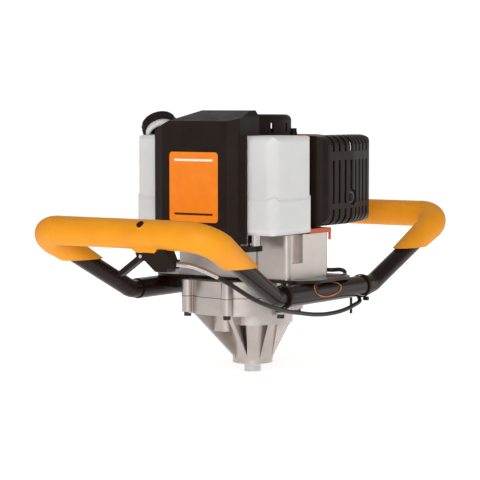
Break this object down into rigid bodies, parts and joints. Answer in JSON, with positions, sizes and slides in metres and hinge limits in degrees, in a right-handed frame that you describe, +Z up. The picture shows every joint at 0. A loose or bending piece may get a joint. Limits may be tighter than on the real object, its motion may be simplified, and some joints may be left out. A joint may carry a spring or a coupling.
{
  "type": "earth auger",
  "caption": "Petrol powerhead of an earth auger: two-stroke engine over a reduction gear case with an output shaft, carried between two U-shaped handles with soft grips.",
  "frame": {"origin": "centre of the output shaft's lower end face", "axes": "+Z up along the output shaft and crank, +Y along the sleeves towards the rear handle, +X along the grips towards the throttle cable's side"},
  "size_m": [0.262, 0.5462, 0.312],
  "materials": {
    "cast_aluminium": "as cast, sand-blasted",
    "machined_aluminium": "machined",
    "ground_steel": "ground and polished",
    "hardened_steel": "hardened, oiled",
    "blackened_steel": "blackened",
    "black_enamel": "satin enamel",
    "orange_grip": "soft moulded",
    "black_plastic": "fine grain",
    "orange_plastic": "moulded",
    "tank_plastic": "translucent white, moulded",
    "bright_chrome": "plated",
    "cable_cover": "smooth",
    "black_rubber": "moulded",
    "clear_rubber": "moulded",
    "muffler_steel": "heat-proof paint",
    "phenolic": "pressed",
    "filter_foam": "open-cell foam"
  },
  "bodies": {
    "frame": {"gearcase_lower": "cast_aluminium", "gearcase_upper": "cast_aluminium", "fan_case": "cast_aluminium", "crankcase_lower": "cast_aluminium", "crankcase_upper": "cast_aluminium", "cylinder": "cast_aluminium", "carburettor": "cast_aluminium", "trigger_pin": "ground_steel", "shaft_bearings": "ground_steel", "spark_plug": "ground_steel", "gearcase_screws": "blackened_steel", "engine_screws": "blackened_steel", "handle_bolts": "blackened_steel", "handle_front": "black_enamel", "handle_rear": "black_enamel", "handle_sleeves": "black_enamel", "handle_plate": "black_enamel", "sleeve_straps": "black_enamel", "grip_front": "orange_grip", "grip_rear": "orange_grip", "tank_guard": "black_plastic", "muffler_guard": "black_plastic", "starter_housing": "black_plastic", "air_filter_base": "black_plastic", "air_filter_cover": "black_plastic", "throttle_housing": "black_plastic", "cable_ties": "black_plastic", "cylinder_cover": "orange_plastic", "fuel_tank": "tank_plastic", "tank_spacers": "bright_chrome", "cable_elbow": "bright_chrome", "throttle_cable": "cable_cover", "oil_seal": "black_rubber", "plug_cap": "black_rubber", "muffler": "muffler_steel", "intake_flange": "phenolic", "ignition_coil": "phenolic", "air_filter_element": "filter_foam"},
    "output": {"output_shaft": "ground_steel", "output_wheel": "hardened_steel"},
    "counter": {"countershaft": "ground_steel", "counter_wheel": "hardened_steel"},
    "drum": {"clutch_drum": "hardened_steel"},
    "crank": {"crankshaft": "ground_steel", "flywheel": "machined_aluminium", "clutch_shoes": "hardened_steel", "starter_cup": "hardened_steel"},
    "piston": {"piston": "machined_aluminium", "piston_pin": "ground_steel", "connecting_rod": "hardened_steel", "crank_pin": "ground_steel"},
    "trigger": {"throttle_trigger": "black_plastic"},
    "throttle_valve": {"throttle_lever": "ground_steel"},
    "stop_button": {"stop_button": "black_plastic"},
    "choke": {"choke_lever": "black_plastic"},
    "primer": {"primer_bulb": "clear_rubber"},
    "fuel_cap": {"fuel_cap": "black_plastic"},
    "pull_grip": {"starter_grip": "black_plastic"},
    "starter_pulley": {"starter_pulley": "black_plastic"}
  },
  "joints": [
    {"name": "output_spin", "type": "hinge", "parent": "frame", "child": "output", "pos_m": [0, 0, 0.04], "axis": [0, 0, 1], "continuous": true},
    {"name": "counter_spin", "type": "hinge", "parent": "frame", "child": "counter", "pos_m": [-0.01068, -0.03984, 0.08], "axis": [0, 0, 1], "continuous": true},
    {"name": "drum_spin", "type": "hinge", "parent": "frame", "child": "drum", "pos_m": [0, 0, 0.11], "axis": [0, 0, 1], "continuous": true},
    {"name": "crank_spin", "type": "hinge", "parent": "frame", "child": "crank", "pos_m": [0, 0, 0.2], "axis": [0, 0, 1], "continuous": true},
    {"name": "piston_slide", "type": "slide", "parent": "frame", "child": "piston", "axis": [0, 1, 0], "range_m": [-0.034, 0]},
    {"name": "trigger_pull", "type": "hinge", "parent": "frame", "child": "trigger", "pos_m": [0.033, -0.2566, 0.1562], "axis": [0, 1, 0], "range_deg": [0, 25], "stiffness_Nm_per_rad": 0.06},
    {"name": "valve_turn", "type": "hinge", "parent": "frame", "child": "throttle_valve", "pos_m": [-0.072, 0.072, 0.241], "axis": [0, 0, 1], "range_deg": [0, 46]},
    {"name": "stop_press", "type": "slide", "parent": "frame", "child": "stop_button", "axis": [0, 0.7071, -0.7071], "range_m": [0, 0.0015], "stiffness_N_per_m": 300},
    {"name": "choke_turn", "type": "hinge", "parent": "frame", "child": "choke", "pos_m": [-0.084, 0.095, 0.207], "axis": [1, 0, 0], "range_deg": [0, 70]},
    {"name": "primer_press", "type": "slide", "parent": "frame", "child": "primer", "axis": [0, 0, 1], "range_m": [0, 0.004], "stiffness_N_per_m": 400},
    {"name": "cap_turn", "type": "hinge", "parent": "frame", "child": "fuel_cap", "pos_m": [-0.092, -0.062, 0.294], "axis": [-0.5792, 0.4056, 0.7071], "range_deg": [0, 270]},
    {"name": "pull_slide", "type": "slide", "parent": "frame", "child": "pull_grip", "axis": [-0.9659, 0.2588, 0], "range_m": [0, 0.5], "stiffness_N_per_m": 8},
    {"name": "pulley_spin", "type": "hinge", "parent": "frame", "child": "starter_pulley", "pos_m": [0, 0, 0.285], "axis": [0, 0, 1], "range_deg": [0, 1000]}
  ],
  "couplings": [
    {"joint": "counter_spin", "follows": "output_spin", "ratio": -5},
    {"joint": "drum_spin", "follows": "output_spin", "ratio": 25},
    {"joint": "valve_turn", "follows": "trigger_pull", "ratio": 1.8},
    {"joint": "pulley_spin", "follows": "pull_slide", "rad_per_m": 34}
  ]
}
